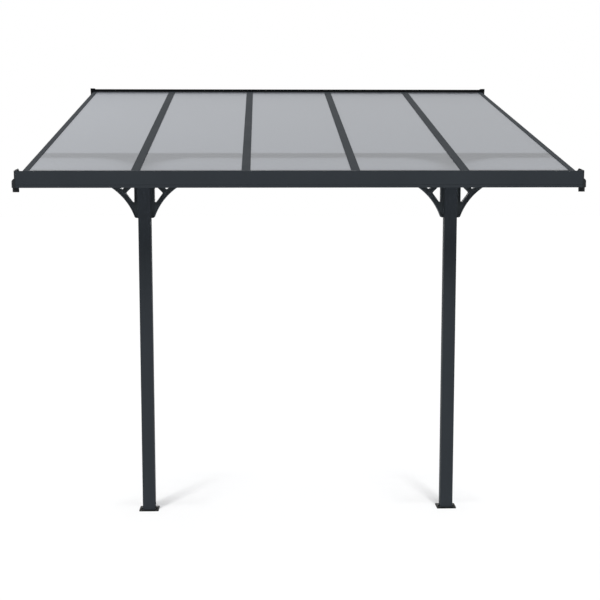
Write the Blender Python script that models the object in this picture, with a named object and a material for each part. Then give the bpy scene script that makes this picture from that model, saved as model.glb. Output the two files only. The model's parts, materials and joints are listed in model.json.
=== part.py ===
# Wall-mounted pergola: an aluminium frame with a sloping glazed roof, two posts and a front gutter.
# Metres, +Z up. The origin is on the wall face of the ledger, at the middle of its length and height.
# The wall is on the +Y side, so the roof runs out and down towards -Y, and the ground is below.
import bmesh
import bpy
from math import acos, atan2, cos, pi, radians, sin, sqrt, tan
from mathutils import Matrix, Vector
from mathutils.geometry import tessellate_polygon

# Overall layout
projection_length = 3.000
slope_angle = radians(11.0)
bay_count = 5
bay_pitch = 0.610
clear_height = 1.995
post_setback = 0.556
post_bays = 3
seat_gap = 0.0003

# Rafters and glazing
rafter_depth = 0.060
rafter_web_width = 0.020
outer_web_width = 0.0165
rafter_wall = 0.002
cover_flange = 0.003
slot_flange = 0.0025
slot_depth = 0.0145
rafter_nose_setback = 0.020
rafter_nose_drop = 0.0015
rafter_back_clearance = 0.018
panel_thickness = 0.008
panel_nose_setback = 0.026
panel_back_clearance = 0.022
panel_slot_play = 0.003
trim_wall = 0.0015
trim_grip = 0.018
strip_end_play = 0.0006

# Cross bars that carry the glazing above the beam's front face
cross_bar_width = 0.040
cross_bar_depth = 0.016
cross_bar_wall = 0.002

# Ledger on the wall
ledger_height = 0.105
ledger_reach = 0.048
ledger_wall = 0.003
ledger_reveal = 0.0185
ledger_overrun = 0.0155
ledger_cap_thickness = 0.005
ledger_cap_margin = 0.006
ledger_cap_sleeve = 0.026
seal_depth = 0.012

# Front gutter
fascia_height = 0.093
fascia_lip = 0.008
fascia_return = 0.010
fascia_groove_height = 0.014
fascia_groove_width = 0.003
fascia_groove_depth = 0.001
gutter_depth = 0.105
gutter_wall = 0.0025
gutter_seat_flange = 0.022
gutter_overrun = 0.0365

# Gutter end caps with their outlets
end_cap_thickness = 0.005
end_cap_margin = 0.0015
end_cap_peak_depth = 0.100
end_cap_peak_rise = 0.010
end_cap_rear_depth = 0.132
end_cap_rear_drop = 0.003
outlet_bulge = 0.0205
outlet_top_drop = 0.041
outlet_shoulder_drop = 0.061
outlet_front_setback = 0.014
outlet_rear_setback = 0.092
outlet_wall = 0.003
outlet_shoulder_radius = 0.034
outlet_corner_radius = 0.020
shoulder_steps = 6
cut_through = 0.010
spigot_radius = 0.018
spigot_bore_radius = 0.015
spigot_outset = 0.0015
spigot_drop = 0.0245
spigot_sides = 32

# Beam under the rafters
beam_width = 0.075
beam_depth = 0.088
beam_wall = 0.003
beam_cap_thickness = 0.004

# Posts and feet
post_width = 0.075
post_wall = 0.002
post_corner_radius = 0.005
base_plate_width = 0.118
base_plate_length = 0.098
base_plate_thickness = 0.006
base_corner_radius = 0.006
base_socket_height = 0.050
base_socket_wall = 0.004
anchor_radius = 0.0045
anchor_spacing = 0.091

# Corner brackets
bracket_leg = 0.2415
bracket_toe = 0.019
bracket_depth = 0.040
bracket_rim = 0.004
bracket_web = 0.004
bracket_foot_radius = 0.012
bracket_arc_radius = 0.355
bracket_stem = 0.022
bracket_band = 0.031
bracket_strut = 0.029
bracket_window_radius = 0.006
fillet_steps = 4
arc_steps = 14
window_steps = 4

# Derived places
rise = tan(slope_angle)
bevel_factor = 1.0 / cos(slope_angle)
rafter_flange_width = rafter_web_width + 2.0 * slot_depth
panel_sight_width = bay_pitch - rafter_flange_width
outer_rafter_x = (bay_count - 2) * bay_pitch / 2.0 + rafter_flange_width / 2.0 + panel_sight_width
outer_web_x = outer_rafter_x + slot_depth + outer_web_width / 2.0
frame_half_width = outer_web_x + outer_web_width / 2.0
slot_height = panel_thickness + 2.0 * seat_gap
fascia_y = -projection_length
lip_y = -ledger_reach
lip_z = ledger_height / 2.0 - ledger_reveal
roof_lip_z = lip_z - seat_gap - ledger_wall * rise
ledger_half = frame_half_width + ledger_overrun
gutter_half = frame_half_width + gutter_overrun


def roof_z(y):
    """Height of the rafters' top face at a distance out from the wall."""
    return roof_lip_z + (y - lip_y) * rise


def underside_z(y):
    """Height of the rafters' bottom face."""
    return roof_z(y) - rafter_depth * bevel_factor


rafter_front_y = fascia_y + rafter_nose_setback
fascia_top = roof_z(rafter_front_y) + rafter_nose_drop
fascia_bottom = fascia_top - fascia_height
gutter_underside = fascia_bottom + fascia_lip
gutter_rear_y = fascia_y + gutter_depth
ground_z = gutter_underside - clear_height
post_y = fascia_y + post_setback
post_x = post_bays * bay_pitch / 2.0
beam_front_y = post_y - beam_width / 2.0
beam_rear_y = post_y + beam_width / 2.0
beam_underside = underside_z(post_y) - seat_gap - beam_depth

coat = {"color": (0.035, 0.041, 0.050, 1.0), "roughness": 0.45, "metallic": 0.0}
coat_dark = {"color": (0.012, 0.013, 0.015, 1.0), "roughness": 0.5, "metallic": 0.0}
casting = {"color": (0.026, 0.029, 0.033, 1.0), "roughness": 0.5, "metallic": 0.0}
glazing = {"color": (0.42, 0.44, 0.47, 1.0), "roughness": 0.3, "metallic": 0.0}
rubber = {"color": (0.010, 0.010, 0.011, 1.0), "roughness": 0.8, "metallic": 0.0}
moulding = {"color": (0.022, 0.024, 0.027, 1.0), "roughness": 0.6, "metallic": 0.0}


def clear_scene():
    for item in list(bpy.data.objects):
        bpy.data.objects.remove(item, do_unlink=True)


def make_material(name, finish):
    material = bpy.data.materials.new(name)
    material.use_nodes = True
    shader = material.node_tree.nodes["Principled BSDF"]
    shader.inputs["Base Color"].default_value = finish["color"]
    shader.inputs["Roughness"].default_value = finish["roughness"]
    shader.inputs["Metallic"].default_value = finish["metallic"]
    material.diffuse_color = finish["color"]
    return material


def place_axes(origin, across, up, along):
    """Matrix that puts a profile's u, v and its extrusion on three world directions."""
    frame = Matrix.Identity(4)
    for column, axis in enumerate((across, up, along)):
        for row in range(3):
            frame[row][column] = axis[row]
    for row in range(3):
        frame[row][3] = origin[row]
    return frame


def add_ring(mesh, loop, height):
    return [mesh.verts.new((u, v, height)) for u, v in loop]


def fill_rings(mesh, rings):
    """Fill the flat area between an outline and its inner outlines with triangles."""
    corners = [vert for ring in rings for vert in ring]
    for triangle in tessellate_polygon([[vert.co.copy() for vert in ring] for ring in rings]):
        mesh.faces.new([corners[index] for index in triangle])


def wall_between(mesh, low, high):
    for index in range(len(low)):
        mesh.faces.new((low[index - 1], low[index], high[index], high[index - 1]))


def place_mesh(mesh, place):
    """Move a closed bmesh to its place with its faces turned outwards."""
    mesh.transform(place)
    bmesh.ops.recalc_face_normals(mesh, faces=mesh.faces[:])
    if mesh.calc_volume(signed=True) < 0.0:
        bmesh.ops.reverse_faces(mesh, faces=mesh.faces[:])
    return mesh


def profile_mesh(loops, length, place):
    """Extrude a flat profile, an outline and any inner outlines, into a closed bmesh."""
    mesh = bmesh.new()
    start = [add_ring(mesh, loop, 0.0) for loop in loops]
    end = [add_ring(mesh, loop, length) for loop in loops]
    fill_rings(mesh, start)
    fill_rings(mesh, end)
    for low, high in zip(start, end):
        wall_between(mesh, low, high)
    return place_mesh(mesh, place)


def relief_mesh(outline, windows, rim, depth, web, place):
    """Openwork plate: a rim round its outline and its windows, and a thin web in the middle of its depth."""
    mesh = bmesh.new()
    recess = (depth - web) / 2.0
    edges = [outline] + windows
    shores = [offset_loop(outline, rim)] + [offset_loop(window, -rim) for window in windows]
    faces = []
    for face, floor in ((0.0, recess), (depth, depth - recess)):
        edge = [add_ring(mesh, loop, face) for loop in edges]
        shore = [add_ring(mesh, loop, face) for loop in shores]
        base = [add_ring(mesh, loop, floor) for loop in shores]
        fill_rings(mesh, base)
        for around, within, below in zip(edge, shore, base):
            fill_rings(mesh, [around, within])
            wall_between(mesh, within, below)
        faces.append(edge)
    for front, back in zip(*faces):
        wall_between(mesh, front, back)
    return place_mesh(mesh, place)


def add_object(name, mesh, finish):
    """Turn a bmesh into a named object with its own material."""
    data = bpy.data.meshes.new(name)
    mesh.to_mesh(data)
    mesh.free()
    item = bpy.data.objects.new(name, data)
    bpy.context.scene.collection.objects.link(item)
    if finish is not None:
        data.materials.append(make_material(name, finish))
    data.shade_smooth()
    data.set_sharp_from_angle(angle=radians(30.0))
    return item


def cut_or_join(item, tools, operation):
    """Apply an exact Boolean with each tool in turn and remove the tools."""
    for tool in tools:
        tool.hide_render = True
        tool.display_type = "WIRE"
        modifier = item.modifiers.new(operation.lower(), "BOOLEAN")
        modifier.operation = operation
        modifier.solver = "EXACT"
        modifier.object = tool
        bpy.context.view_layer.update()
        evaluated = item.evaluated_get(bpy.context.evaluated_depsgraph_get())
        result = bpy.data.meshes.new_from_object(evaluated)
        item.modifiers.remove(modifier)
        old = item.data
        materials = list(old.materials)
        item.data = result
        result.materials.clear()
        for material in materials:
            result.materials.append(material)
        bpy.data.meshes.remove(old)
        bpy.data.objects.remove(tool, do_unlink=True)
    item.data.name = item.name
    item.data.shade_smooth()
    item.data.set_sharp_from_angle(angle=radians(30.0))
    return item


def rounded_loop(points, radius, steps):
    """Replace each corner of a closed outline by an arc that is tangent to both its sides."""
    loop = []
    count = len(points)
    for index in range(count):
        corner = Vector(points[index])
        back = (Vector(points[index - 1]) - corner).normalized()
        ahead = (Vector(points[(index + 1) % count]) - corner).normalized()
        half = acos(max(-1.0, min(1.0, back.dot(ahead)))) / 2.0
        reach = radius / tan(half)
        centre = corner + (back + ahead).normalized() * radius / sin(half)
        start = corner + back * reach - centre
        sweep = start.angle_signed(corner + ahead * reach - centre)
        for step in range(steps + 1):
            turn = Matrix.Rotation(-sweep * step / steps, 2)
            loop.append(tuple(centre + turn @ start))
    return loop


def rectangle(width, height):
    u = width / 2.0
    v = height / 2.0
    return [(-u, -v), (u, -v), (u, v), (-u, v)]


def circle_loop(radius, sides, centre=(0.0, 0.0)):
    turn = 2.0 * pi / sides
    return [(centre[0] + radius * cos(turn * k), centre[1] + radius * sin(turn * k)) for k in range(sides)]


def arc_points(start, end, radius, steps):
    """Points of an arc from start to end whose centre lies to the right of that direction."""
    a = Vector(start)
    b = Vector(end)
    chord = b - a
    right = Vector((chord.y, -chord.x)).normalized()
    centre = (a + b) / 2.0 + right * sqrt(radius ** 2 - (chord.length / 2.0) ** 2)
    first = a - centre
    sweep = first.angle_signed(b - centre)
    return [tuple(centre + Matrix.Rotation(-sweep * k / steps, 2) @ first) for k in range(steps + 1)]


# Rafters: a box web with a cover flange on top and a slot for the glazing on each side
def rafter_profile(web_width, left_slot, right_slot):
    web = web_width / 2.0
    left = web + (slot_depth if left_slot else 0.0)
    right = web + (slot_depth if right_slot else 0.0)
    slot_top = -cover_flange
    slot_bottom = slot_top - slot_height
    flange_bottom = slot_bottom - slot_flange
    outline = [(-left, 0.0), (right, 0.0)]
    if right_slot:
        outline += [(right, slot_top), (web, slot_top), (web, slot_bottom)]
        outline += [(right, slot_bottom), (right, flange_bottom), (web, flange_bottom)]
    outline += [(web, -rafter_depth), (-web, -rafter_depth)]
    if left_slot:
        outline += [(-web, flange_bottom), (-left, flange_bottom), (-left, slot_bottom)]
        outline += [(-web, slot_bottom), (-web, slot_top), (-left, slot_top)]
    inner = web - rafter_wall
    hollow = [(-inner, slot_top), (-inner, rafter_wall - rafter_depth)]
    hollow += [(inner, rafter_wall - rafter_depth), (inner, slot_top)]
    return [outline, hollow]


def slope_frame(x, front_y, below_top):
    """Profile frame on the roof's slope: u across, v square to the roof, extrusion up the slope."""
    along = Vector((0.0, cos(slope_angle), sin(slope_angle)))
    normal = Vector((0.0, -sin(slope_angle), cos(slope_angle)))
    origin = Vector((x, front_y, roof_z(front_y))) - normal * below_top
    return place_axes(origin, Vector((1.0, 0.0, 0.0)), normal, along)


def build_rafters():
    length = (-rafter_back_clearance - rafter_front_y) * bevel_factor
    inner_first = -(bay_count - 2) * bay_pitch / 2.0
    for index in range(bay_count + 1):
        if index == 0:
            x, profile = -outer_web_x, rafter_profile(outer_web_width, False, True)
        elif index == bay_count:
            x, profile = outer_web_x, rafter_profile(outer_web_width, True, False)
        else:
            x, profile = inner_first + (index - 1) * bay_pitch, rafter_profile(rafter_web_width, True, True)
        mesh = profile_mesh(profile, length, slope_frame(x, rafter_front_y, 0.0))
        add_object(f"rafter_{index + 1}", mesh, coat)


def bay_centres():
    return [(index - (bay_count - 1) / 2.0) * bay_pitch for index in range(bay_count)]


def across_frame(start):
    """Profile frame for pieces that run along the wall: u is +Y, v is up, extrusion along +X."""
    return place_axes(Vector(start), Vector((0, 1, 0)), Vector((0, 0, 1)), Vector((1, 0, 0)))


def slope_across_frame(x, front_y):
    """The same on the roof's slope: u up the slope, v square to the roof, extrusion along +X."""
    frame = slope_frame(x, front_y, 0.0)
    along = frame.col[2].to_3d()
    normal = frame.col[1].to_3d()
    return place_axes(frame.translation, along, normal, Vector((1, 0, 0)))


def build_panels():
    front_y = fascia_y + panel_nose_setback
    length = (-panel_back_clearance - front_y) * bevel_factor
    half = panel_sight_width / 2.0 + slot_depth - panel_slot_play
    top = -cover_flange - seat_gap
    sheet = [(-half, top), (half, top), (half, top - panel_thickness), (-half, top - panel_thickness)]
    for index, x in enumerate(bay_centres()):
        mesh = profile_mesh([sheet], length, slope_frame(x, front_y, 0.0))
        add_object(f"roof_panel_{index + 1}", mesh, glazing)


def build_panel_trims():
    """U-shaped trims over the sheets' lower edges."""
    front_y = fascia_y + panel_nose_setback
    grip_top = trim_wall - cover_flange
    grip_bottom = -cover_flange - slot_height - trim_wall
    section = [(-seat_gap - trim_wall, grip_bottom), (trim_grip, grip_bottom)]
    section += [(trim_grip, grip_bottom + trim_wall), (-seat_gap, grip_bottom + trim_wall)]
    section += [(-seat_gap, grip_top - trim_wall), (trim_grip, grip_top - trim_wall)]
    section += [(trim_grip, grip_top), (-seat_gap - trim_wall, grip_top)]
    length = panel_sight_width - 2.0 * strip_end_play
    for index, x in enumerate(bay_centres()):
        mesh = profile_mesh([section], length, slope_across_frame(x - length / 2.0, front_y))
        add_object(f"panel_trim_{index + 1}", mesh, moulding)


def build_cross_bars():
    """Channels under the sheets, above the beam's front face, with ends notched to run under the slots."""
    slot_bottom = -cover_flange - slot_height
    half = cross_bar_width / 2.0
    inner = half - cross_bar_wall
    low = slot_bottom - cross_bar_depth
    shelf = slot_bottom - cross_bar_wall
    section = [(-half, slot_bottom), (half, slot_bottom), (half, low), (inner, low)]
    section += [(inner, shelf), (-inner, shelf), (-inner, low), (-half, low)]
    reach = panel_sight_width / 2.0 + slot_depth - seat_gap
    sight = panel_sight_width / 2.0 - seat_gap
    notch_z = slot_bottom - slot_flange - seat_gap
    for index, x in enumerate(bay_centres()):
        mesh = profile_mesh([section], reach + reach, slope_across_frame(x - reach, beam_front_y))
        bar = add_object(f"cross_bar_{index + 1}", mesh, coat)
        notch = [(-half - cut_through, notch_z), (half + cut_through, notch_z)]
        notch += [(half + cut_through, cut_through), (-half - cut_through, cut_through)]
        tools = []
        for start in (x + sight, x - sight - slot_depth - cut_through):
            block = profile_mesh([notch], slot_depth + cut_through, slope_across_frame(start, beam_front_y))
            tools.append(add_object("tool_notch", block, None))
        cut_or_join(bar, tools, "DIFFERENCE")


def build_ledger():
    top = ledger_height / 2.0
    shelf_top = [underside_z(y) - seat_gap for y in (lip_y, -ledger_wall)]
    shelf_bottom = [z - ledger_wall for z in shelf_top]
    section = [(0.0, -top), (0.0, top), (lip_y, top), (lip_y, lip_z), (lip_y + ledger_wall, lip_z)]
    section += [(lip_y + ledger_wall, top - ledger_wall), (-ledger_wall, top - ledger_wall)]
    section += [(-ledger_wall, shelf_top[1]), (lip_y, shelf_top[0])]
    section += [(lip_y, shelf_bottom[0]), (-ledger_wall, shelf_bottom[1]), (-ledger_wall, -top)]
    mesh = profile_mesh([section], ledger_half + ledger_half, across_frame((-ledger_half, 0.0, 0.0)))
    add_object("wall_ledger", mesh, coat_dark)
    build_ledger_cap("ledger_cap_left", -1)
    build_ledger_cap("ledger_cap_right", 1)


def build_ledger_cap(name, side):
    """Cap with an end plate and a sleeve that grips the ledger's top and lip."""
    top = ledger_height / 2.0
    margin = ledger_cap_margin
    plate = [(0.0, -top), (0.0, top + margin), (lip_y - margin, top + margin), (lip_y - margin, lip_z)]
    plate += [(lip_y, lip_z), (lip_y, -top)]
    sleeve = [(0.0, top + seat_gap), (0.0, top + margin), (lip_y - margin, top + margin)]
    sleeve += [(lip_y - margin, lip_z), (lip_y - seat_gap, lip_z), (lip_y - seat_gap, top + seat_gap)]
    inner_x = ledger_half + seat_gap
    plate_mesh = profile_mesh([plate], ledger_cap_thickness, across_frame((inner_x, 0.0, 0.0)))
    cap = add_object(name, plate_mesh, coat_dark)
    length = ledger_cap_sleeve + ledger_cap_thickness / 2.0
    sleeve_mesh = profile_mesh([sleeve], length, across_frame((inner_x - ledger_cap_sleeve, 0.0, 0.0)))
    grip = add_object("tool_grip", sleeve_mesh, None)
    cut_or_join(cap, [grip], "UNION")
    if side < 0:
        mirror_across(cap)


def mirror_across(item):
    """Mirror a finished piece to the other end of the frame."""
    item.data.transform(Matrix.Scale(-1.0, 4, Vector((1, 0, 0))))
    item.data.flip_normals()


def build_ledger_seals():
    """Rubber seals between the ledger's lip and the glazing, one in each bay."""
    drop = cover_flange * bevel_factor
    low = [roof_z(y) - drop for y in (lip_y, lip_y + seal_depth)]
    seal = [(lip_y, low[0]), (lip_y + seal_depth, low[1])]
    seal += [(lip_y + seal_depth, lip_z - seat_gap), (lip_y, lip_z - seat_gap)]
    length = panel_sight_width - 2.0 * strip_end_play
    for index, x in enumerate(bay_centres()):
        mesh = profile_mesh([seal], length, across_frame((x - length / 2.0, 0.0, 0.0)))
        add_object(f"ledger_seal_{index + 1}", mesh, rubber)


def build_gutter():
    inner_y = fascia_y + gutter_wall
    floor_top = gutter_underside + gutter_wall
    back_in = gutter_rear_y - gutter_wall
    flange_end = gutter_rear_y + gutter_seat_flange
    seat = {y: underside_z(y) - seat_gap for y in (back_in, gutter_rear_y, flange_end)}
    groove_low = fascia_bottom + fascia_groove_height
    groove_high = groove_low + fascia_groove_width
    groove_y = fascia_y + fascia_groove_depth
    section = [(fascia_y, fascia_top), (fascia_y + fascia_return, fascia_top)]
    section += [(fascia_y + fascia_return, fascia_top - gutter_wall), (inner_y, fascia_top - gutter_wall)]
    section += [(inner_y, floor_top), (back_in, floor_top), (back_in, seat[back_in])]
    section += [(flange_end, seat[flange_end]), (flange_end, seat[flange_end] - gutter_wall)]
    section += [(gutter_rear_y, seat[gutter_rear_y] - gutter_wall), (gutter_rear_y, gutter_underside)]
    section += [(inner_y, gutter_underside), (inner_y, fascia_bottom), (fascia_y, fascia_bottom)]
    section += [(fascia_y, groove_low), (groove_y, groove_low)]
    section += [(groove_y, groove_high), (fascia_y, groove_high)]
    mesh = profile_mesh([section], gutter_half + gutter_half, across_frame((-gutter_half, 0.0, 0.0)))
    add_object("front_gutter", mesh, coat)


def build_beam():
    """Hollow beam across the posts; its top follows the rafters, and a cap closes each end."""
    outline = [(beam_front_y, beam_underside), (beam_rear_y, beam_underside)]
    outline += [(y, underside_z(y) - seat_gap) for y in (beam_rear_y, beam_front_y)]
    inner_front = beam_front_y + beam_wall
    inner_rear = beam_rear_y - beam_wall
    hollow = [(inner_front, beam_underside + beam_wall), (inner_rear, beam_underside + beam_wall)]
    hollow += [(y, underside_z(y) - seat_gap - beam_wall) for y in (inner_rear, inner_front)]
    start = (-frame_half_width, 0.0, 0.0)
    beam = profile_mesh([outline, hollow], frame_half_width + frame_half_width, across_frame(start))
    add_object("front_beam", beam, coat)
    for name, side in (("left", -1), ("right", 1)):
        middle = side * (frame_half_width + seat_gap + beam_cap_thickness / 2.0)
        place = across_frame((middle - beam_cap_thickness / 2.0, 0.0, 0.0))
        add_object(f"beam_cap_{name}", profile_mesh([outline], beam_cap_thickness, place), moulding)


def box_tool(low, high):
    """A box between two corners, used to cut or to join."""
    loop = [(low[0], low[1]), (high[0], low[1]), (high[0], high[1]), (low[0], high[1])]
    place = Matrix.Translation((0.0, 0.0, low[2]))
    return add_object("tool_box", profile_mesh([loop], high[2] - low[2], place), None)


def cylinder_tool(centre, radius, low, high, sides):
    loop = circle_loop(radius, sides, centre)
    place = Matrix.Translation((0.0, 0.0, low))
    return add_object("tool_cylinder", profile_mesh([loop], high - low, place), None)


def housing_plan(root_x, far_x, front_y, rear_y, radius):
    """Plan of the outlet housing: open to the cap plate, with its two outer corners rounded."""
    loop = [(root_x, rear_y)]
    loop += arc_points((far_x - radius, rear_y), (far_x, rear_y - radius), radius, shoulder_steps)
    loop += arc_points((far_x, front_y + radius), (far_x - radius, front_y), radius, shoulder_steps)
    return loop + [(root_x, front_y)]


def build_gutter_cap(name, side):
    """End cap with a bulged outlet and a round spigot; side is -1 on the left and 1 on the right."""
    inner_x = gutter_half + seat_gap
    outer_x = inner_x + end_cap_thickness
    root_x = outer_x - end_cap_thickness / 2.0
    far_x = outer_x + outlet_bulge
    front = fascia_y - end_cap_margin
    top = fascia_top + end_cap_margin
    peak = (fascia_y + end_cap_peak_depth, top + end_cap_peak_rise)
    rear = fascia_y + end_cap_rear_depth
    outline = [(front, fascia_bottom), (front, top), peak]
    outline += [(rear, top - end_cap_rear_drop), (rear, fascia_bottom)]
    plate = profile_mesh([outline], end_cap_thickness, across_frame((inner_x, 0.0, 0.0)))
    cap = add_object(name, plate, moulding)

    # Outlet housing: rounded in plan, with a curved shoulder that runs back to the plate
    housing_front = fascia_y + outlet_front_setback
    housing_rear = fascia_y + outlet_rear_setback
    plan = housing_plan(root_x, far_x, housing_front, housing_rear, outlet_corner_radius)
    place = Matrix.Translation((0.0, 0.0, fascia_bottom))
    housing = add_object("tool_housing", profile_mesh([plan], fascia_height, place), None)
    shoulder_top = (outer_x, fascia_top - outlet_top_drop)
    shoulder_side = (far_x + seat_gap, fascia_top - outlet_shoulder_drop)
    skin = [(root_x - cut_through, fascia_top - outlet_top_drop)]
    skin += arc_points(shoulder_top, shoulder_side, outlet_shoulder_radius, shoulder_steps)
    skin_low = fascia_bottom - cut_through
    skin += [(far_x + seat_gap, skin_low), (root_x - cut_through, skin_low)]
    place = place_axes(Vector((0.0, housing_rear + cut_through, 0.0)), Vector((1, 0, 0)),
                       Vector((0, 0, 1)), Vector((0, -1, 0)))
    length = outlet_rear_setback - outlet_front_setback + 2.0 * cut_through
    form = add_object("tool_form", profile_mesh([skin], length, place), None)
    cut_or_join(housing, [form], "INTERSECT")

    # Saddle under the gutter floor and the round spigot
    spigot_x = outer_x + spigot_outset
    spigot_y = (housing_front + housing_rear) / 2.0
    saddle_reach = spigot_radius + outlet_wall
    saddle_top = gutter_underside - seat_gap
    saddle_low = (spigot_x - saddle_reach, spigot_y - saddle_reach, fascia_bottom)
    saddle = box_tool(saddle_low, (root_x, spigot_y + saddle_reach, saddle_top))
    spigot_low = fascia_bottom - spigot_drop
    spigot = cylinder_tool((spigot_x, spigot_y), spigot_radius, spigot_low, saddle_top - outlet_wall / 2,
                           spigot_sides)
    cut_or_join(cap, [housing, saddle, spigot], "UNION")

    # Water way: from the trough through the plate, into the housing and down the spigot
    floor = gutter_underside + gutter_wall
    plan = housing_plan(inner_x - cut_through, far_x - outlet_wall, housing_front + outlet_wall,
                        housing_rear - outlet_wall, outlet_corner_radius - outlet_wall)
    height = fascia_top - outlet_shoulder_drop - floor
    place = Matrix.Translation((0.0, 0.0, floor))
    chamber = add_object("tool_chamber", profile_mesh([plan], height, place), None)
    bore = cylinder_tool((spigot_x, spigot_y), spigot_bore_radius, spigot_low - cut_through,
                         floor + outlet_wall, spigot_sides)
    cut_or_join(cap, [chamber, bore], "DIFFERENCE")
    if side < 0:
        mirror_across(cap)


def build_post(name, x):
    outer = rounded_loop(rectangle(post_width, post_width), post_corner_radius, 4)
    bore = post_width - 2.0 * post_wall
    inner = rounded_loop(rectangle(bore, bore), post_corner_radius - post_wall, 4)
    low = ground_z + base_plate_thickness + seat_gap
    high = beam_underside - seat_gap
    place = Matrix.Translation((x, post_y, low))
    add_object(name, profile_mesh([outer, inner], high - low, place), coat)


def build_base(name, x):
    """Foot plate with two anchor holes and a short socket that stands inside the post."""
    plate = rounded_loop(rectangle(base_plate_width, base_plate_length), base_corner_radius, 4)
    holes = [circle_loop(anchor_radius, 16, (side * anchor_spacing / 2.0, 0.0)) for side in (-1, 1)]
    place = Matrix.Translation((x, post_y, ground_z))
    base = add_object(name, profile_mesh([plate] + holes, base_plate_thickness, place), casting)
    size = post_width - 2.0 * (post_wall + seat_gap)
    outer = rounded_loop(rectangle(size, size), post_corner_radius - post_wall, 4)
    bore = size - 2.0 * base_socket_wall
    inner = rectangle(bore, bore)
    low = base_plate_thickness / 2.0
    place = Matrix.Translation((x, post_y, ground_z + low))
    height = base_socket_height - low
    socket = add_object("tool_socket", profile_mesh([outer, inner], height, place), None)
    cut_or_join(base, [socket], "UNION")


def offset_loop(points, distance):
    """Move each side of a closed outline inwards by a distance (outwards if it is negative)."""
    area = sum(points[k - 1][0] * points[k][1] - points[k][0] * points[k - 1][1] for k in range(len(points)))
    turn = 1.0 if area > 0 else -1.0
    loop = []
    for index in range(len(points)):
        here = Vector(points[index])
        before = (here - Vector(points[index - 1])).normalized()
        after = (Vector(points[(index + 1) % len(points)]) - here).normalized()
        first = Vector((-before.y, before.x)) * turn
        second = Vector((-after.y, after.x)) * turn
        bisector = (first + second).normalized()
        loop.append(tuple(here + bisector * distance / max(0.2, bisector.dot(first))))
    return loop


def mirror_diagonal(points):
    """Mirror points about the bracket's 45 degree diagonal, in reverse order."""
    return [(-v, -u) for u, v in reversed(points)]


def arc_centre():
    """Distance from the corner, outwards and down, of the centre of the bracket's large arc."""
    spread = bracket_leg - bracket_toe
    return (bracket_leg + bracket_toe + sqrt(2.0 * bracket_arc_radius ** 2 - spread ** 2)) / 2.0


def bracket_outline():
    """Outline from the post face outwards and from the beam's underside down, alike on both legs."""
    centre = arc_centre()
    radius = bracket_foot_radius
    fillet_v = radius - bracket_leg
    fillet_u = centre - sqrt((bracket_arc_radius + radius) ** 2 - (centre + fillet_v) ** 2)
    share = bracket_arc_radius / (bracket_arc_radius + radius)
    touch = (centre + (fillet_u - centre) * share, -centre + (fillet_v + centre) * share)
    end_angle = atan2(touch[1] - fillet_v, touch[0] - fillet_u)
    foot = [(0.0, -bracket_leg)]
    for step in range(fillet_steps):
        angle = -pi / 2.0 + (end_angle + pi / 2.0) * step / fillet_steps
        foot.append((fillet_u + radius * cos(angle), fillet_v + radius * sin(angle)))
    arc = arc_points(touch, (-touch[1], -touch[0]), bracket_arc_radius, arc_steps)
    return [(0.0, 0.0)] + foot + arc + mirror_diagonal(foot)


def bracket_windows():
    """Two windows, mirrored about the diagonal strut: stem or arm, strut and arched band are their sides."""
    centre = arc_centre()
    inner_radius = bracket_arc_radius + bracket_band
    offset = bracket_strut / sqrt(2.0)
    low_v = sqrt(inner_radius ** 2 - (centre - bracket_stem) ** 2) - centre
    side = (offset + sqrt(2.0 * inner_radius ** 2 - offset ** 2)) / 2.0
    corners = [(bracket_stem, -bracket_stem - offset), (bracket_stem, low_v)]
    corners += [(centre - side, side - centre - offset)]
    lower = rounded_loop(corners, bracket_window_radius, window_steps)
    return [lower, mirror_diagonal(lower)]


def build_bracket(name, x, side):
    """Openwork bracket between a post and the beam; side is the way it reaches."""
    face_x = x + side * (post_width / 2.0 + seat_gap)
    corner = Vector((face_x, post_y - bracket_depth / 2.0, beam_underside - seat_gap))
    place = place_axes(corner, Vector((side, 0, 0)), Vector((0, 0, 1)), Vector((0, 1, 0)))
    mesh = relief_mesh(bracket_outline(), bracket_windows(), bracket_rim, bracket_depth, bracket_web, place)
    add_object(name, mesh, casting)


clear_scene()
build_ledger()
build_ledger_seals()
build_rafters()
build_panels()
build_panel_trims()
build_cross_bars()
build_gutter()
build_gutter_cap("gutter_cap_left", -1)
build_gutter_cap("gutter_cap_right", 1)
build_beam()
for post_side, side_name in ((-1, "left"), (1, "right")):
    build_post(f"post_{side_name}", post_side * post_x)
    build_base(f"base_plate_{side_name}", post_side * post_x)
    build_bracket(f"bracket_{side_name}_outer", post_side * post_x, post_side)
    build_bracket(f"bracket_{side_name}_inner", post_side * post_x, -post_side)
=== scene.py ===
import json
from math import cos, pi, radians, sin

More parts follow.
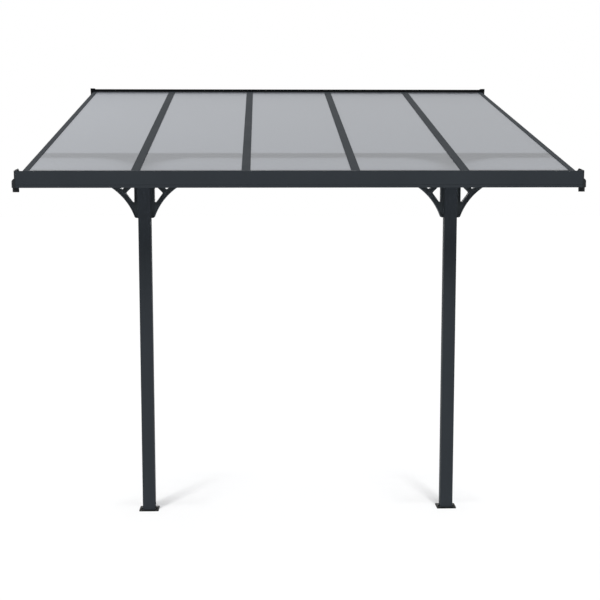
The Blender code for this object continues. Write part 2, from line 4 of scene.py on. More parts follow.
import bpy
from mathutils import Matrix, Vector


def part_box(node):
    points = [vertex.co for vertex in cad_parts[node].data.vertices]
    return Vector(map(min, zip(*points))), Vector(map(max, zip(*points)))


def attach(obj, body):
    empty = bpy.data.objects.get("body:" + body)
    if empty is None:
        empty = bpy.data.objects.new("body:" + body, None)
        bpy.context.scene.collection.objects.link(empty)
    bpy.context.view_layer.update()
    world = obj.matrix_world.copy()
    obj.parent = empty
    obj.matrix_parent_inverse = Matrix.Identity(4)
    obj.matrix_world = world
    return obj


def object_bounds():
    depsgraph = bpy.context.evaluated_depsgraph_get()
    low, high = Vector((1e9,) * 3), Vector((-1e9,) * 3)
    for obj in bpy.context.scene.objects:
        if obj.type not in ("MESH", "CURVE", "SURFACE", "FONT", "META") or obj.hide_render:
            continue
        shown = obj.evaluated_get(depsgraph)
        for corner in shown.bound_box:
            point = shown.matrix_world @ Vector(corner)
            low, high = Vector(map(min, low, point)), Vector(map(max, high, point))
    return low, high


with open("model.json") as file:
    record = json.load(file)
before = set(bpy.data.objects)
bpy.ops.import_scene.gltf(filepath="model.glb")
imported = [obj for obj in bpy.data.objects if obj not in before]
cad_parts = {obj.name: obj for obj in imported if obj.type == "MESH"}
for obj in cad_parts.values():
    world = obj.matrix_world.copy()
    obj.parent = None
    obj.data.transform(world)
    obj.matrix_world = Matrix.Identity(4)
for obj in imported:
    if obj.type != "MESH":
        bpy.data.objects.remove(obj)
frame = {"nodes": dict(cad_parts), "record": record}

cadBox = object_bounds()
nodes = frame["nodes"]
print("frame loaded:", len(nodes), "nodes")


# Camera, solved from the edges of the rafters, posts, foot plates, ledger and gutter
cameraView = {
    "position": (-0.2253, -9.671, -0.423),
    "pitchDegrees": 7.0877,
    "yawDegrees": 1.8778,
    "focalPixels": 1204.4,
    "imagePixels": 600.0,
    "sensorMillimetres": 36.0,
    "farEnd": 200.0,
}


def makeCamera():
    data = bpy.data.cameras.new("photoCamera")
    data.sensor_width = cameraView["sensorMillimetres"]
    focalShare = cameraView["focalPixels"] / cameraView["imagePixels"]
    data.lens = focalShare * cameraView["sensorMillimetres"]
    data.clip_end = cameraView["farEnd"]
    camera = bpy.data.objects.new("photoCamera", data)
    camera.location = cameraView["position"]
    tilt = radians(90.0 - cameraView["pitchDegrees"])
    camera.rotation_euler = (tilt, 0.0, -radians(cameraView["yawDegrees"]))
    bpy.context.scene.collection.objects.link(camera)
    bpy.context.scene.camera = camera


makeCamera()
print("camera placed")


# Small helpers for node trees
evenly = (1.0, 1.0, 1.0)  # a pattern that runs alike in all directions


def addNode(tree, kind, inputs=None, **settings):
    node = tree.nodes.new(kind)
    for name, value in settings.items():
        setattr(node, name, value)
    for name, value in (inputs or {}).items():
        node.inputs[name].default_value = value
    return node


def addSocket(tree, name, way, kind):
    tree.interface.new_socket(name, in_out=way, socket_type="NodeSocket" + kind)


def startMaterial(name):
    material = bpy.data.materials.new(name)
    material.use_nodes = True
    tree = material.node_tree
    return material, tree, tree.nodes["Principled BSDF"]


def patternOn(tree, kind, stretch, inputs):
    # a texture node on Object coordinates, stretched where the finish runs along an axis
    place = addNode(tree, "ShaderNodeTexCoord")
    mapping = addNode(tree, "ShaderNodeMapping", {"Scale": stretch})
    texture = addNode(tree, kind, inputs)
    tree.links.new(place.outputs["Object"], mapping.inputs["Vector"])
    tree.links.new(mapping.outputs["Vector"], texture.inputs["Vector"])
    return texture


def spread(tree, source, low, high):
    # maps a 0 to 1 pattern onto a narrower range
    ramp = addNode(tree, "ShaderNodeMapRange", {"To Min": low, "To Max": high})
    tree.links.new(source, ramp.inputs["Value"])
    return ramp.outputs["Result"]


def blendColours(tree, factor, first, second):
    mix = addNode(tree, "ShaderNodeMix", data_type="RGBA")  # its colours are sockets 6, 7 and 2
    mix.inputs[6].default_value = (*first, 1.0)
    mix.inputs[7].default_value = (*second, 1.0)
    tree.links.new(factor, mix.inputs[0])
    return mix.outputs[2]


def addBump(tree, shader, height, strength, depth):
    bump = addNode(tree, "ShaderNodeBump", {"Strength": strength, "Distance": depth})
    tree.links.new(height, bump.inputs["Height"])
    tree.links.new(bump.outputs["Normal"], shader.inputs["Normal"])


# Coats: a grain over faint clouds of colour and sheen, fine and shallow on the powder-coated
# profiles, coarser on the cast brackets and foot plates, and finest on the moulded caps and trims
frameCoat = {
    "light": (0.0300, 0.0350, 0.0405),
    "dark": (0.0244, 0.0288, 0.0338),
    "roughLow": 0.50,
    "roughHigh": 0.62,
    "shine": 0.035,
    "grainScale": 900.0,
    "cloudScale": 3.0,
    "grainBump": 0.06,
}
# The ledger coat is near-black, several times darker than the frame coat
ledgerCoat = {
    "light": (0.0050, 0.0055, 0.0062),
    "dark": (0.0030, 0.0034, 0.0040),
    "roughLow": 0.54,
    "roughHigh": 0.66,
    "shine": 0.02,
    "grainScale": 900.0,
    "cloudScale": 3.0,
    "grainBump": 0.06,
}
# The cast coat is lighter than the frame coat: painted light that offsets the shade the brackets get
# under the roof
castCoatPaintedLight = {
    "light": (0.052, 0.060, 0.066),
    "dark": (0.038, 0.044, 0.048),
    "roughLow": 0.54,
    "roughHigh": 0.70,
    "shine": 0.06,
    "grainScale": 420.0,
    "cloudScale": 9.0,
    "grainBump": 0.22,
}
# The plate coat is a darker copy of the cast coat: painted shade where the foot plates sit on the
# floor
plateCoatPaintedShade = {
    "light": (0.0110, 0.0124, 0.0121),
    "dark": (0.0078, 0.0088, 0.0088),
    "roughLow": 0.56,
    "roughHigh": 0.72,
    "shine": 0.03,
    "grainScale": 420.0,
    "cloudScale": 9.0,
    "grainBump": 0.22,
}
mouldedPlastic = {
    "light": (0.020, 0.022, 0.024),
    "dark": (0.013, 0.014, 0.016),
    "roughLow": 0.52,
    "roughHigh": 0.64,
    "shine": 0.10,
    "grainScale": 1500.0,
    "cloudScale": 14.0,
    "grainBump": 0.12,
}
coatPattern = {
    "cloudDetail": 3.0,
    "cloudBite": 0.55,
    "grainDetail": 2.0,
    "grainBite": 0.5,
    "grainDepth": 0.0004,
}


def coatMaterial(name, coat):
    material, tree, shader = startMaterial(name)
    clouds = patternOn(tree, "ShaderNodeTexNoise", evenly, {
        "Scale": coat["cloudScale"],
        "Detail": coatPattern["cloudDetail"],
        "Roughness": coatPattern["cloudBite"],
    })
    colour = blendColours(tree, clouds.outputs["Fac"], coat["dark"], coat["light"])
    tree.links.new(colour, shader.inputs["Base Color"])
    rough = spread(tree, clouds.outputs["Fac"], coat["roughLow"], coat["roughHigh"])
    tree.links.new(rough, shader.inputs["Roughness"])
    shader.inputs["Specular IOR Level"].default_value = coat["shine"]
    grain = patternOn(tree, "ShaderNodeTexNoise", evenly, {
        "Scale": coat["grainScale"],
        "Detail": coatPattern["grainDetail"],
        "Roughness": coatPattern["grainBite"],
    })
    addBump(tree, shader, grain.outputs["Fac"], coat["grainBump"], coatPattern["grainDepth"])
    return material


# Smoky satin sheet: it blurs what is behind it, and lamps shine through it
roofSheet = {
    "tint": (0.160, 0.175, 0.201),
    "tintDeep": (0.152, 0.166, 0.190),
    "roughness": 0.35,
    "clearShare": 0.54,
    "shine": 0.25,
    "bend": 1.8,
    "shadowTint": (0.60, 0.61, 0.63),
    "cloudScale": 1.4,
    "cloudDetail": 2.0,
    "cloudStretch": (1.0, 0.4, 1.0),
    "rippleScale": 55.0,
    "rippleDetail": 1.0,
    "rippleStretch": (1.0, 0.12, 1.0),
    "rippleBump": 0.05,
    "rippleDepth": 0.001,
}


def sheetMaterial():
    material, tree, shader = startMaterial("smokySheet")
    clouds = patternOn(tree, "ShaderNodeTexNoise", roofSheet["cloudStretch"],
                       {"Scale": roofSheet["cloudScale"], "Detail": roofSheet["cloudDetail"]})
    tint = blendColours(tree, clouds.outputs["Fac"], roofSheet["tintDeep"], roofSheet["tint"])
    tree.links.new(tint, shader.inputs["Base Color"])
    shader.inputs["Roughness"].default_value = roofSheet["roughness"]
    shader.inputs["Transmission Weight"].default_value = roofSheet["clearShare"]
    shader.inputs["Specular IOR Level"].default_value = roofSheet["shine"]
    shader.inputs["IOR"].default_value = roofSheet["bend"]
    ripple = patternOn(tree, "ShaderNodeTexNoise", roofSheet["rippleStretch"],
                       {"Scale": roofSheet["rippleScale"], "Detail": roofSheet["rippleDetail"]})
    addBump(tree, shader, ripple.outputs["Fac"], roofSheet["rippleBump"], roofSheet["rippleDepth"])

    # lamps shine through the sheet, tinted, and what was blurred on its way in comes out clear
    rays = addNode(tree, "ShaderNodeLightPath")
    through = addNode(tree, "ShaderNodeMath", operation="MAXIMUM")
    tree.links.new(rays.outputs["Is Shadow Ray"], through.inputs[0])
    tree.links.new(rays.outputs["Is Transmission Ray"], through.inputs[1])
    clear = addNode(tree, "ShaderNodeBsdfTransparent", {"Color": (*roofSheet["shadowTint"], 1.0)})
    mix = addNode(tree, "ShaderNodeMixShader")
    tree.links.new(through.outputs[0], mix.inputs[0])
    tree.links.new(shader.outputs["BSDF"], mix.inputs[1])
    tree.links.new(clear.outputs["BSDF"], mix.inputs[2])
    tree.links.new(mix.outputs["Shader"], tree.nodes["Material Output"].inputs["Surface"])
    return material


# Matt seal under the ledger's lip, faintly streaked along its length
sealRubber = {
    "light": (0.011, 0.011, 0.012),
    "dark": (0.006, 0.006, 0.007),
    "roughness": 0.82,
    "streakScale": 160.0,
    "streakDetail": 2.0,
    "streakStretch": (0.2, 1.0, 1.0),
    "streakBump": 0.15,
    "streakDepth": 0.0003,
}


def rubberMaterial():
    material, tree, shader = startMaterial("sealRubber")
    streaks = patternOn(tree, "ShaderNodeTexNoise", sealRubber["streakStretch"],
                        {"Scale": sealRubber["streakScale"], "Detail": sealRubber["streakDetail"]})
    colour = blendColours(tree, streaks.outputs["Fac"], sealRubber["dark"], sealRubber["light"])
    tree.links.new(colour, shader.inputs["Base Color"])
    shader.inputs["Roughness"].default_value = sealRubber["roughness"]
    addBump(tree, shader, streaks.outputs["Fac"], sealRubber["streakBump"], sealRubber["streakDepth"])
    return material


# Steel fixings: dulled zinc on the anchors and black zinc on the screws
zincSteel = {
    "bright": (0.046, 0.048, 0.045),
    "dull": (0.029, 0.030, 0.028),
    "roughLow": 0.42,
    "roughHigh": 0.58,
    "metal": 0.10,
    "shine": 0.08,
    "spangleScale": 420.0,
}
blackZinc = {
    "bright": (0.030, 0.032, 0.035),
    "dull": (0.018, 0.019, 0.021),
    "roughLow": 0.32,
    "roughHigh": 0.48,
    "metal": 0.60,
    "shine": 0.30,
    "spangleScale": 900.0,
}


def fixingMaterial(name, steel):
    material, tree, shader = startMaterial(name)
    spangle = patternOn(tree, "ShaderNodeTexVoronoi", evenly, {"Scale": steel["spangleScale"]})
    colour = blendColours(tree, spangle.outputs["Color"], steel["dull"], steel["bright"])
    tree.links.new(colour, shader.inputs["Base Color"])
    rough = spread(tree, spangle.outputs["Distance"], steel["roughLow"], steel["roughHigh"])
    tree.links.new(rough, shader.inputs["Roughness"])
    shader.inputs["Metallic"].default_value = steel["metal"]
    shader.inputs["Specular IOR Level"].default_value = steel["shine"]
    return material


materials = {
    "frame_coat": coatMaterial("frameCoat", frameCoat),
    "ledger_coat": coatMaterial("ledgerCoat", ledgerCoat),
    "bracket_coat": coatMaterial("castCoatPaintedLight", castCoatPaintedLight),
    "trim_plastic": coatMaterial("mouldedPlastic", mouldedPlastic),
    "roof_glazing": sheetMaterial(),
    "seal_rubber": rubberMaterial(),
}
footCoatPaintedShade = coatMaterial("plateCoatPaintedShade", plateCoatPaintedShade)
dullZinc = fixingMaterial("zincSteel", zincSteel)
darkZinc = fixingMaterial("blackZinc", blackZinc)
print("materials made")


# Every node takes the material of its slot in the record, and the foot plates a darker cast coat,
# which is painted shade where they meet the floor
def dressNodes():
    for part in frame["record"]["subparts"]:
        piece = nodes[part["node"]]
        isFoot = part["node"].startswith("base_plate")
        material = footCoatPaintedShade if isFoot else materials[part["material_slot"]]
        if not piece.data.materials:
            piece.data.materials.append(material)
        for index in range(len(piece.data.materials)):
            piece.data.materials[index] = material


dressNodes()


# Small edge rounds and smooth shading, so that edges catch the light as extruded and cast ones do
edgeRounds = {
    "frame_coat": 0.0007,
    "ledger_coat": 0.0007,
    "bracket_coat": 0.0012,
    "trim_plastic": 0.0008,
}
edgeFinish = {
    "mergeDistance": 0.00002,
    "smoothDegrees": 30.0,
    "roundDegrees": 40.0,
    "roundSegments": 2,
}


def smoothTree():
    tree = bpy.data.node_groups.new("smoothShading", "GeometryNodeTree")
    addSocket(tree, "Geometry", "INPUT", "Geometry")
    addSocket(tree, "Geometry", "OUTPUT", "Geometry")
    start = addNode(tree, "NodeGroupInput")
    end = addNode(tree, "NodeGroupOutput")
    merge = addNode(tree, "GeometryNodeMergeByDistance", {"Distance": edgeFinish["mergeDistance"]})
    faces = addNode(tree, "GeometryNodeSetShadeSmooth", {"Shade Smooth": True}, domain="FACE")
    edges = addNode(tree, "GeometryNodeSetShadeSmooth", {"Shade Smooth": False}, domain="EDGE")
    angle = addNode(tree, "GeometryNodeInputMeshEdgeAngle")
    sharp = addNode(tree, "FunctionNodeCompare", data_type="FLOAT", operation="GREATER_THAN")
    sharp.inputs[1].default_value = radians(edgeFinish["smoothDegrees"])
    tree.links.new(start.outputs["Geometry"], merge.inputs["Geometry"])
    tree.links.new(merge.outputs["Geometry"], faces.inputs["Geometry"])
    tree.links.new(faces.outputs["Geometry"], edges.inputs["Geometry"])
    tree.links.new(angle.outputs["Unsigned Angle"], sharp.inputs[0])
    tree.links.new(sharp.outputs["Result"], edges.inputs["Selection"])
    tree.links.new(edges.outputs["Geometry"], end.inputs["Geometry"])
    return tree


def roundEdges():
    smoothing = smoothTree()
    for part in frame["record"]["subparts"]:
        slot = part["material_slot"]
        piece = nodes[part["node"]]
        shade = piece.modifiers.new("smoothShading", "NODES")
        shade.node_group = smoothing
        if slot in edgeRounds:
            bevel = piece.modifiers.new("edgeRound", "BEVEL")
            bevel.width = edgeRounds[slot]
            bevel.segments = edgeFinish["roundSegments"]
            bevel.limit_method = "ANGLE"
            bevel.angle_limit = radians(edgeFinish["roundDegrees"])
            bevel.harden_normals = True


roundEdges()
print("nodes dressed")


# Fasteners: one node tree for all of them, a head with a chamfered rim and a recess over a washer
anchorBolt = {
    "headRadius": 0.0072, "headHeight": 0.0052, "headSides": 6,
    "rimShare": 0.88, "rimHeight": 0.0008, "recessShare": 0.40, "recessDepth": 0.0004,
    "washerRadius": 0.0078, "washerHeight": 0.0016,
}
wallAnchor = {
    "headRadius": 0.0065, "headHeight": 0.0046, "headSides": 6,
    "rimShare": 0.88, "rimHeight": 0.0008, "recessShare": 0.40, "recessDepth": 0.0004,
    "washerRadius": 0.0095, "washerHeight": 0.0015,
}
panScrew = {
    "headRadius": 0.0042, "headHeight": 0.0013, "headSides": 16,
    "rimShare": 0.72, "rimHeight": 0.0009, "recessShare": 0.52, "recessDepth": 0.0012,
    "washerRadius": 0.0050, "washerHeight": 0.0004,
}
capScrew = {
    "headRadius": 0.0032, "headHeight": 0.0009, "headSides": 16,
    "rimShare": 0.72, "rimHeight": 0.0007, "recessShare": 0.52, "recessDepth": 0.0009,
    "washerRadius": 0.0038, "washerHeight": 0.0003,
}
allFasteners = {"washerSides": 20, "turnSeed": 7}


def fastenerTree():
    tree = bpy.data.node_groups.new("fasteners", "GeometryNodeTree")
    addSocket(tree, "Geometry", "INPUT", "Geometry")
    for name in anchorBolt:
        addSocket(tree, name, "INPUT", "Int" if name == "headSides" else "Float")
    addSocket(tree, "material", "INPUT", "Material")
    addSocket(tree, "Geometry", "OUTPUT", "Geometry")
    start = addNode(tree, "NodeGroupInput").outputs
    end = addNode(tree, "NodeGroupOutput")
    link = tree.links.new

    # head: a short prism whose top is drawn in to a rim, then in again and down to a recess
    head = addNode(tree, "GeometryNodeMeshCylinder")
    link(start["headSides"], head.inputs["Vertices"])
    link(start["headRadius"], head.inputs["Radius"])
    link(start["headHeight"], head.inputs["Depth"])
    rim = addNode(tree, "GeometryNodeExtrudeMesh", {"Individual": False})
    link(head.outputs["Mesh"], rim.inputs["Mesh"])
    link(head.outputs["Top"], rim.inputs["Selection"])
    link(start["rimHeight"], rim.inputs["Offset Scale"])
    rimIn = addNode(tree, "GeometryNodeScaleElements")
    link(rim.outputs["Mesh"], rimIn.inputs["Geometry"])
    link(rim.outputs["Top"], rimIn.inputs["Selection"])
    link(start["rimShare"], rimIn.inputs["Scale"])
    inset = addNode(tree, "GeometryNodeExtrudeMesh", {"Offset Scale": 0.0, "Individual": False})
    link(rimIn.outputs["Geometry"], inset.inputs["Mesh"])
    link(rim.outputs["Top"], inset.inputs["Selection"])
    insetIn = addNode(tree, "GeometryNodeScaleElements")
    link(inset.outputs["Mesh"], insetIn.inputs["Geometry"])
    link(inset.outputs["Top"], insetIn.inputs["Selection"])
    link(start["recessShare"], insetIn.inputs["Scale"])
    sink = addNode(tree, "ShaderNodeMath", {1: -1.0}, operation="MULTIPLY")
    link(start["recessDepth"], sink.inputs[0])
    recess = addNode(tree, "GeometryNodeExtrudeMesh", {"Individual": False})
    link(insetIn.outputs["Geometry"], recess.inputs["Mesh"])
    link(inset.outputs["Top"], recess.inputs["Selection"])
    link(sink.outputs[0], recess.inputs["Offset Scale"])

    # the head stands on its washer, and the washer on the surface
    washer = addNode(tree, "GeometryNodeMeshCylinder", {"Vertices": allFasteners["washerSides"]})
    link(start["washerRadius"], washer.inputs["Radius"])
    link(start["washerHeight"], washer.inputs["Depth"])
    halfWasher = addNode(tree, "ShaderNodeMath", {1: 0.5}, operation="MULTIPLY")
    link(start["washerHeight"], halfWasher.inputs[0])
    lift = addNode(tree, "ShaderNodeMath", {1: 0.5}, operation="MULTIPLY_ADD")
    link(start["headHeight"], lift.inputs[0])
    link(start["washerHeight"], lift.inputs[2])
    parts = addNode(tree, "GeometryNodeJoinGeometry")
    for mesh, height in ((recess.outputs["Mesh"], lift), (washer.outputs["Mesh"], halfWasher)):
        rise = addNode(tree, "ShaderNodeCombineXYZ")
        move = addNode(tree, "GeometryNodeTransform")
        link(height.outputs[0], rise.inputs["Z"])
        link(mesh, move.inputs["Geometry"])
        link(rise.outputs["Vector"], move.inputs["Translation"])
        link(move.outputs["Geometry"], parts.inputs["Geometry"])

    # one on each point, along the point's aim, each turned as it happened to be driven home
    aim = addNode(tree, "GeometryNodeInputNamedAttribute", {"Name": "aim"}, data_type="FLOAT_VECTOR")
    align = addNode(tree, "FunctionNodeAlignRotationToVector", axis="Z")
    link(aim.outputs["Attribute"], align.inputs["Vector"])
    place = addNode(tree, "GeometryNodeInstanceOnPoints")
    link(start["Geometry"], place.inputs["Points"])
    link(parts.outputs["Geometry"], place.inputs["Instance"])
    link(align.outputs["Rotation"], place.inputs["Rotation"])
    turn = addNode(tree, "FunctionNodeRandomValue", data_type="FLOAT")
    turn.inputs["Seed"].default_value = allFasteners["turnSeed"]
    turn.inputs[2].default_value = 0.0  # least and most turn
    turn.inputs[3].default_value = 2.0 * pi
    spin = addNode(tree, "ShaderNodeCombineXYZ")
    link(turn.outputs[1], spin.inputs["Z"])
    rotate = addNode(tree, "GeometryNodeRotateInstances", {"Local Space": True})
    link(place.outputs["Instances"], rotate.inputs["Instances"])
    link(spin.outputs["Vector"], rotate.inputs["Rotation"])
    real = addNode(tree, "GeometryNodeRealizeInstances")
    link(rotate.outputs["Instances"], real.inputs["Geometry"])
    finish = addNode(tree, "GeometryNodeSetMaterial")
    link(real.outputs["Geometry"], finish.inputs["Geometry"])
    link(start["material"], finish.inputs["Material"])
    link(finish.outputs["Geometry"], end.inputs["Geometry"])
    return tree


fasteners = fastenerTree()
fastenerInputs = {
    item.name: item.identifier for item in fasteners.interface.items_tree if item.in_out == "INPUT"
}


def placeFasteners(name, kind, material, spots):
    # spots is a list of places and the ways that their heads point
    mesh = bpy.data.meshes.new(name + "Points")
    mesh.from_pydata([place for place, aim in spots], [], [])
    aims = mesh.attributes.new("aim", "FLOAT_VECTOR", "POINT")
    for index, (place, aim) in enumerate(spots):
        aims.data[index].vector = aim
    piece = bpy.data.objects.new(name, mesh)
    bpy.context.scene.collection.objects.link(piece)
    modifier = piece.modifiers.new("fasteners", "NODES")
    modifier.node_group = fasteners
    for key, value in kind.items():
        modifier[fastenerInputs[key]] = value
    modifier[fastenerInputs["material"]] = material
    graph = bpy.context.evaluated_depsgraph_get()
    solid = bpy.data.meshes.new_from_object(piece.evaluated_get(graph))
    solid.name = name
    piece.modifiers.remove(modifier)
    piece.data = solid
    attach(piece, "root")


sides = {"left": -1.0, "right": 1.0}
up = (0.0, 0.0, 1.0)
down = (0.0, 0.0, -1.0)
forward = (0.0, -1.0, 0.0)

# Where the fasteners go, measured on the nodes that carry them
footSpots = {"apart": 0.091, "postGap": 0.0003, "screwHeight": 0.030}
bracketSpots = {"stem": 0.022, "along": (0.066, 0.132)}
ledgerSpots = {"backPlate": 0.003, "height": -0.038, "reach": 1.44, "count": 9}
# the rafters' top plane: its height at the ledger's lip and its rise for each metre towards the wall
roofPlane = {
    "lipHeight": 0.03312,
    "lipBack": -0.048,
    "fall": 0.19438,
    "rafterDepth": 0.060,
    "gap": 0.0003,
}
rafterSpots = {
    "count": 6,
    "ledgerBack": -0.026,
    "ledgerShelf": 0.003,
    "gutterBack": -2.884,
    "gutterSeat": 0.0025,
    "outerWeb": 0.00825,
}
capSpots = {
    "gutter_cap_": {"bulge": 0.0205, "places": ((0.0115, 0.022), (0.1215, 0.022), (0.1215, 0.086))},
    "beam_cap_": {"bulge": 0.0, "places": ((0.0375, 0.044),)},
    "ledger_cap_": {"bulge": 0.0, "places": ((0.028, 0.026), (0.028, 0.086))},
}


def fitFeet():
    # anchor bolts on each plate beside the post, and a screw into each side of the post's foot
    for word in sides:
        low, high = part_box("post_" + word)
        x = (low.x + high.x) / 2.0
        y = (low.y + high.y) / 2.0
        top = low.z - footSpots["postGap"]
        spots = [((x + way * footSpots["apart"] / 2.0, y, top), up) for way in (-1.0, 1.0)]
        placeFasteners("anchor_bolts_" + word, anchorBolt, dullZinc, spots)
        height = low.z + footSpots["screwHeight"]
        spots = [((end, y, height), (way, 0.0, 0.0)) for way, end in ((-1.0, low.x), (1.0, high.x))]
        placeFasteners("foot_screws_" + word, panScrew, darkZinc, spots)


def fitBrackets():
    # screws inside the brackets' windows: two into the post and two up into the beam
    stem = bracketSpots["stem"]
    for word, side in sides.items():
        for part, reach in (("outer", side), ("inner", -side)):
            low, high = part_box("bracket_" + word + "_" + part)
            foot = low.x if reach > 0 else high.x
            y = (low.y + high.y) / 2.0
            spots = [((foot + reach * stem, y, high.z - drop), (reach, 0.0, 0.0))
                     for drop in bracketSpots["along"]]
            spots += [((foot + reach * out, y, high.z - stem), down) for out in bracketSpots["along"]]
            placeFasteners("bracket_screws_" + word + "_" + part, panScrew, darkZinc, spots)


def fitLedger():
    # wall anchors in an even row along the ledger's back plate
    low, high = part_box("wall_ledger")
    back = high.y - ledgerSpots["backPlate"]
    gap = 2.0 * ledgerSpots["reach"] / (ledgerSpots["count"] - 1)
    spots = [((index * gap - ledgerSpots["reach"], back, ledgerSpots["height"]), forward)
             for index in range(ledgerSpots["count"])]
    placeFasteners("wall_anchors", wallAnchor, dullZinc, spots)


def fitRafters():
    # a screw up into each rafter through the ledger's shelf, and one through the gutter's seat
    fall = roofPlane["fall"]
    aim = Vector((0.0, fall, -1.0)).normalized()
    webs = []
    last = rafterSpots["count"]
    for index in range(1, last + 1):
        low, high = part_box("rafter_" + str(index))
        outer = {1: low.x + rafterSpots["outerWeb"], last: high.x - rafterSpots["outerWeb"]}
        webs.append(outer.get(index, (low.x + high.x) / 2.0))
    for name, back, wall in (("ledger_screws", "ledgerBack", "ledgerShelf"),
                             ("gutter_screws", "gutterBack", "gutterSeat")):
        y = rafterSpots[back]
        roof = roofPlane["lipHeight"] + (y - roofPlane["lipBack"]) * fall
        rafterBottom = roof - roofPlane["rafterDepth"] * (1.0 + fall * fall) ** 0.5
        z = rafterBottom - roofPlane["gap"] - rafterSpots[wall]
        placeFasteners(name, panScrew, darkZinc, [((x, y, z), aim) for x in webs])


def fitCaps():
    # small screws in the end caps: places are counted from the cap's front and top
    for word, side in sides.items():
        spots = []
        for cap, rule in capSpots.items():
            low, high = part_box(cap + word)
            face = (low.x if side < 0 else high.x) - side * rule["bulge"]
            spots += [((face, low.y + back, high.z - drop), (side, 0.0, 0.0))
                      for back, drop in rule["places"]]
        placeFasteners("cap_screws_" + word, capScrew, darkZinc, spots)


fitFeet()
fitBrackets()
fitLedger()
fitRafters()
fitCaps()
print("fasteners fitted")


# Floor, lamps and a white background
studio = {
    "floorSize": 60.0,
    "floorColour": (0.80, 0.80, 0.80),
    "floorRoughness": 0.9,
    "floorGlow": 0.09,
    "skyLight": 0.30,
    "background": 1.0,
}
# two wide soft suns from the front; "towards" is where they shine to, height and width are in degrees
lamps = {
    "leftSoft": {"towards": (0.47, 0.88), "height": 45.0, "width": 27.0, "power": 1.45,
                 "shadowOf": "left"},
    "rightSoft": {"towards": (-0.22, 0.97), "height": 45.0, "width": 27.0, "power": 1.15,
                  "shadowOf": "right"},
}
# weak suns that keep the rear and the ends from going black; they leave the "unlit" pieces alone
sheetsAndTrims = ("roof_panel", "panel_trim")
innerRafters = ("rafter_2", "rafter_3", "rafter_4", "rafter_5")
fills = {
    "backFill": {"towards": (0.0, -1.0), "height": 13.0, "width": 34.0, "power": 1.6,
                 "unlit": sheetsAndTrims + ("rafter",)},
    "leftFill": {"towards": (1.0, 0.0), "height": 6.0, "width": 30.0, "power": 0.8,
                 "unlit": sheetsAndTrims + innerRafters},
    "rightFill": {"towards": (-1.0, 0.0), "height": 6.0, "width": 30.0, "power": 0.8,
                  "unlit": sheetsAndTrims + innerRafters},
}
# a near lamp on the left for the sheets alone, so that they fall off a little to the right
roofFill = {
    "place": (-3.3, -1.5, 2.3),
    "aim": (-0.6, -1.5, -0.25),
    "size": 1.5,
    "power": 104.0,
}
# a fan of narrow suns for the floor alone: heights in degrees and what each adds to its brightness
groundFan = {
    "width": 3.0,
    "heights": (66.0, 70.5, 75.0, 79.0, 82.0, 84.5, 86.5),
    "shares": (0.028, 0.036, 0.036, 0.042, 0.055, 0.070, 0.085),
}


def seenDirectly(tree):
    # 1 where the camera, a reflection or a view through the sheets meets it, 0 where it only lights
    rays = addNode(tree, "ShaderNodeLightPath")
    first = addNode(tree, "ShaderNodeMath", operation="MAXIMUM")
    second = addNode(tree, "ShaderNodeMath", operation="MAXIMUM")
    tree.links.new(rays.outputs["Is Camera Ray"], first.inputs[0])
    tree.links.new(rays.outputs["Is Glossy Ray"], first.inputs[1])
    tree.links.new(first.outputs[0], second.inputs[0])
    tree.links.new(rays.outputs["Is Transmission Ray"], second.inputs[1])
    return second.outputs[0]


def makeFloor():
    material, tree, shader = startMaterial("studioFloor")
    shader.inputs["Base Color"].default_value = (*studio["floorColour"], 1.0)
    shader.inputs["Roughness"].default_value = studio["floorRoughness"]
    shader.inputs["Specular IOR Level"].default_value = 0.0
    shader.inputs["Emission Color"].default_value = (1.0, 1.0, 1.0, 1.0)
    glow = spread(tree, seenDirectly(tree), 0.0, studio["floorGlow"])
    tree.links.new(glow, shader.inputs["Emission Strength"])
    mesh = bpy.data.meshes.new("studioFloor")
    half = studio["floorSize"] / 2.0
    z = cadBox[0].z
    corners = [(-half, -half, z), (half, -half, z), (half, half, z), (-half, half, z)]
    mesh.from_pydata(corners, [], [(0, 1, 2, 3)])
    mesh.materials.append(material)
    floor = bpy.data.objects.new("studioFloor", mesh)
    bpy.context.scene.collection.objects.link(floor)
    return floor


def makeSky():
    world = bpy.data.worlds.new("studioSky")
    world.use_nodes = True
    tree = world.node_tree
    sky = tree.nodes["Background"]
    sky.inputs["Color"].default_value = (1.0, 1.0, 1.0, 1.0)
    level = spread(tree, seenDirectly(tree), studio["skyLight"], studio["background"])
    tree.links.new(level, sky.inputs["Strength"])
    bpy.context.scene.world = world


def makeLamp(name, towards, height, width, power):
    data = bpy.data.lights.new(name, "SUN")
    data.energy = power
    data.angle = radians(width)
    item = bpy.data.objects.new(name, data)
    ahead = Vector((*towards, 0.0)).normalized() * cos(radians(height))
    source = -ahead + Vector((0.0, 0.0, sin(radians(height))))
    item.rotation_euler = source.to_track_quat("Z", "Y").to_euler()
    bpy.context.scene.collection.objects.link(item)
    return item


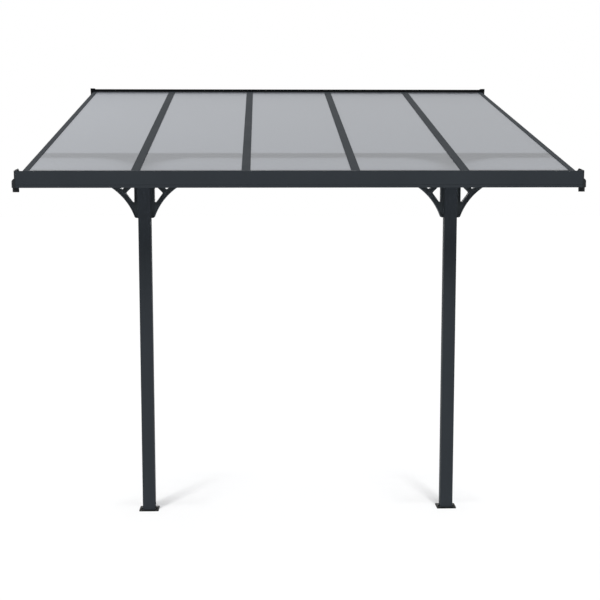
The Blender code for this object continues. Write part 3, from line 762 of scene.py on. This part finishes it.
def keepOff(item, unlit):
    # the lamp lights everything but these pieces
    lit = bpy.data.collections.new(item.name + "Lit")
    for piece in unlit:
        lit.objects.link(piece)
    for entry in lit.collection_objects:
        entry.light_linking.link_state = "EXCLUDE"
    item.light_linking.receiver_collection = lit


def makeLamps(floor):
    # each front sun lights the frame, and a fan of narrow ones from the same side lights the floor,
    # where the post of that side throws a short streak, darkest at its foot
    for name, lamp in lamps.items():
        onFrame = makeLamp(name, lamp["towards"], lamp["height"], lamp["width"], lamp["power"])
        keepOff(onFrame, [floor])
        ground = bpy.data.collections.new(name + "Ground")
        ground.objects.link(floor)
        blockers = bpy.data.collections.new(name + "Blockers")
        for part, piece in nodes.items():
            if lamp["shadowOf"] in part and part.startswith(("post", "base_plate", "bracket")):
                blockers.objects.link(piece)
        for height, share in zip(groundFan["heights"], groundFan["shares"]):
            power = share * pi / (studio["floorColour"][0] * sin(radians(height)))
            onFloor = makeLamp(name + "Floor", lamp["towards"], height, groundFan["width"], power)
            onFloor.light_linking.receiver_collection = ground
            onFloor.light_linking.blocker_collection = blockers
    for name, lamp in fills.items():
        fill = makeLamp(name, lamp["towards"], lamp["height"], lamp["width"], lamp["power"])
        spared = [piece for part, piece in nodes.items() if part.startswith(lamp["unlit"])]
        keepOff(fill, [floor] + spared)


def makeRoofFill():
    data = bpy.data.lights.new("roofFill", "AREA")
    data.energy = roofFill["power"]
    data.size = roofFill["size"]
    item = bpy.data.objects.new("roofFill", data)
    item.location = roofFill["place"]
    towards = Vector(roofFill["aim"]) - Vector(roofFill["place"])
    item.rotation_euler = towards.to_track_quat("-Z", "Y").to_euler()
    bpy.context.scene.collection.objects.link(item)
    sheets = bpy.data.collections.new("roofFillSheets")
    for part, piece in nodes.items():
        if part.startswith("roof_panel"):
            sheets.objects.link(piece)
    item.light_linking.receiver_collection = sheets


studioFloor = makeFloor()
makeSky()
makeLamps(studioFloor)
makeRoofFill()
bpy.context.scene.view_settings.view_transform = "Standard"
print("studio set up")

bpy.context.view_layer.update()
